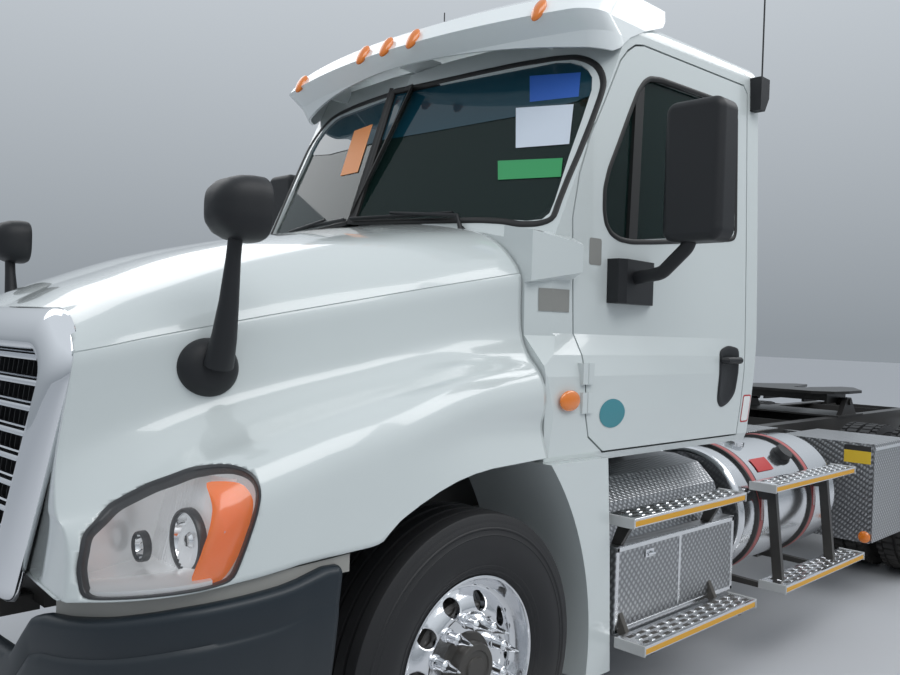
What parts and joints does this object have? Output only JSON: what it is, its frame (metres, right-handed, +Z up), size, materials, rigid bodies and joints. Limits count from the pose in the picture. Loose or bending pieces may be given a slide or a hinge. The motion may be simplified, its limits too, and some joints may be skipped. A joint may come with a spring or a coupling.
{
  "type": "day cab semi truck tractor unit",
  "caption": "Three-axle day cab road tractor with a tilting bonnet, hinged doors, steered front wheels, twin-tyred drive axles and a tilting fifth wheel.",
  "frame": {"origin": "centre of the bounding box at ground level", "axes": "+X forward, +Y to the driver's left, +Z up"},
  "size_m": [7.836, 3.012, 3.717],
  "materials": {
    "white_paint": "glossy cool white",
    "white_plastic": "glossy cool white moulding",
    "bumper_plastic": "dark slate, fine grain",
    "black_plastic": "satin black",
    "cab_plastic": "dark grey",
    "seat_cloth": "dark grey cloth",
    "bright_chrome": "bright",
    "frame_black": "semi-gloss black",
    "engine_grey": "painted grey",
    "radiator_aluminium": "dull",
    "tread_aluminium": "bright tread plate",
    "polished_aluminium": "polished",
    "wheel_aluminium": "polished",
    "strap_steel": "black",
    "coupling_iron": "greased black",
    "flap_rubber": "matt",
    "tyre_rubber": "matt black",
    "red_lens": "clear red",
    "amber_lens": "clear amber",
    "tinted_glass": "green tint",
    "lamp_clear": "clear lens over a silver reflector"
  },
  "bodies": {
    "chassis": {"frame": "frame_black", "front_bumper": "bumper_plastic", "front_beam": "frame_black", "front_springs": "frame_black", "drive_axles": "frame_black", "powertrain": "engine_grey", "propeller_shafts": "frame_black", "radiator": "radiator_aluminium", "air_tanks": "frame_black", "dashboard": "cab_plastic", "seats": "seat_cloth", "fender_extensions": "white_plastic", "side_boxes": "tread_aluminium", "fuel_tanks": "polished_aluminium", "tank_straps": "strap_steel", "steps": "tread_aluminium", "step_brackets": "frame_black", "toolbox": "tread_aluminium", "deck_plate": "tread_aluminium", "fifth_wheel_base": "frame_black", "mud_flaps": "flap_rubber", "tail_lamps": "red_lens", "antennas": "black_plastic", "sun_visor": "white_plastic", "marker_lamps": "amber_lens", "cab_shell": "white_paint", "roof_panel": "white_paint", "cab_glass": "tinted_glass"},
    "hood": {"hood_shell": "white_paint", "grille": "bright_chrome", "headlights": "lamp_clear", "hood_mirrors": "black_plastic"},
    "fifth_wheel": {"fifth_wheel_plate": "coupling_iron"},
    "steering_wheel": {"steering_wheel": "cab_plastic"},
    "toolbox_door": {"toolbox_door": "tread_aluminium"},
    "tie_rod": {"tie_rod": "frame_black"},
    "door_left": {"door_left": "white_paint", "door_glass_left": "tinted_glass", "door_mirror_left": "black_plastic"},
    "knuckle_left": {"knuckle_left": "frame_black"},
    "front_wheel_left": {"front_tyre_left": "tyre_rubber", "front_rim_left": "wheel_aluminium"},
    "drive_wheels_1_left": {"drive_tyres_1_left": "tyre_rubber", "drive_rims_1_left": "wheel_aluminium"},
    "drive_wheels_2_left": {"drive_tyres_2_left": "tyre_rubber", "drive_rims_2_left": "wheel_aluminium"},
    "door_right": {"door_right": "white_paint", "door_glass_right": "tinted_glass", "door_mirror_right": "black_plastic"},
    "knuckle_right": {"knuckle_right": "frame_black"},
    "front_wheel_right": {"front_tyre_right": "tyre_rubber", "front_rim_right": "wheel_aluminium"},
    "drive_wheels_1_right": {"drive_tyres_1_right": "tyre_rubber", "drive_rims_1_right": "wheel_aluminium"},
    "drive_wheels_2_right": {"drive_tyres_2_right": "tyre_rubber", "drive_rims_2_right": "wheel_aluminium"}
  },
  "joints": [
    {"name": "steer_left", "type": "hinge", "parent": "chassis", "child": "knuckle_left", "pos_m": [2.648, 0.915, 0.505], "axis": [0, 0, 1], "range_deg": [-38, 38]},
    {"name": "front_wheel_left_spin", "type": "hinge", "parent": "knuckle_left", "child": "front_wheel_left", "pos_m": [2.648, 1.035, 0.505], "axis": [0, 1, 0], "continuous": true},
    {"name": "door_left_hinge", "type": "hinge", "parent": "chassis", "child": "door_left", "pos_m": [2.012, 1.112, 1.36], "axis": [0, 0, -1], "range_deg": [0, 70]},
    {"name": "drive_wheels_1_left_spin", "type": "hinge", "parent": "chassis", "child": "drive_wheels_1_left", "pos_m": [-1.962, 0.918, 0.505], "axis": [0, 1, 0], "continuous": true},
    {"name": "drive_wheels_2_left_spin", "type": "hinge", "parent": "chassis", "child": "drive_wheels_2_left", "pos_m": [-3.282, 0.918, 0.505], "axis": [0, 1, 0], "continuous": true},
    {"name": "steer_right", "type": "hinge", "parent": "chassis", "child": "knuckle_right", "pos_m": [2.648, -0.915, 0.505], "axis": [0, 0, 1], "range_deg": [-38, 38]},
    {"name": "front_wheel_right_spin", "type": "hinge", "parent": "knuckle_right", "child": "front_wheel_right", "pos_m": [2.648, -1.035, 0.505], "axis": [0, 1, 0], "continuous": true},
    {"name": "door_right_hinge", "type": "hinge", "parent": "chassis", "child": "door_right", "pos_m": [2.012, -1.112, 1.36], "axis": [0, 0, 1], "range_deg": [0, 70]},
    {"name": "drive_wheels_1_right_spin", "type": "hinge", "parent": "chassis", "child": "drive_wheels_1_right", "pos_m": [-1.962, -0.918, 0.505], "axis": [0, 1, 0], "continuous": true},
    {"name": "drive_wheels_2_right_spin", "type": "hinge", "parent": "chassis", "child": "drive_wheels_2_right", "pos_m": [-3.282, -0.918, 0.505], "axis": [0, 1, 0], "continuous": true},
    {"name": "tie_rod_link", "type": "hinge", "parent": "knuckle_left", "child": "tie_rod", "pos_m": [2.458, 0.915, 0.38], "axis": [0, 0, 1], "range_deg": [-38, 38]},
    {"name": "steering_wheel_turn", "type": "hinge", "parent": "chassis", "child": "steering_wheel", "pos_m": [1.628, 0.5, 1.84], "axis": [-0.7071, 0, 0.7071], "range_deg": [-700, 700]},
    {"name": "hood_tilt", "type": "hinge", "parent": "chassis", "child": "hood", "pos_m": [3.858, 0, 0.735], "axis": [0, 1, 0], "range_deg": [0, 75]},
    {"name": "fifth_wheel_tilt", "type": "hinge", "parent": "chassis", "child": "fifth_wheel", "pos_m": [-2.442, 0, 1.122], "axis": [0, 1, 0], "range_deg": [-12, 12]},
    {"name": "toolbox_door_hinge", "type": "hinge", "parent": "chassis", "child": "toolbox_door", "pos_m": [-1.082, 1.1883, 0.984], "axis": [1, 0, 0], "range_deg": [0, 90]}
  ],
  "couplings": [
    {"joint": "steer_right", "follows": "steer_left", "ratio": 1},
    {"joint": "tie_rod_link", "follows": "steer_left", "ratio": -1},
    {"joint": "steering_wheel_turn", "follows": "steer_left", "ratio": 18}
  ]
}
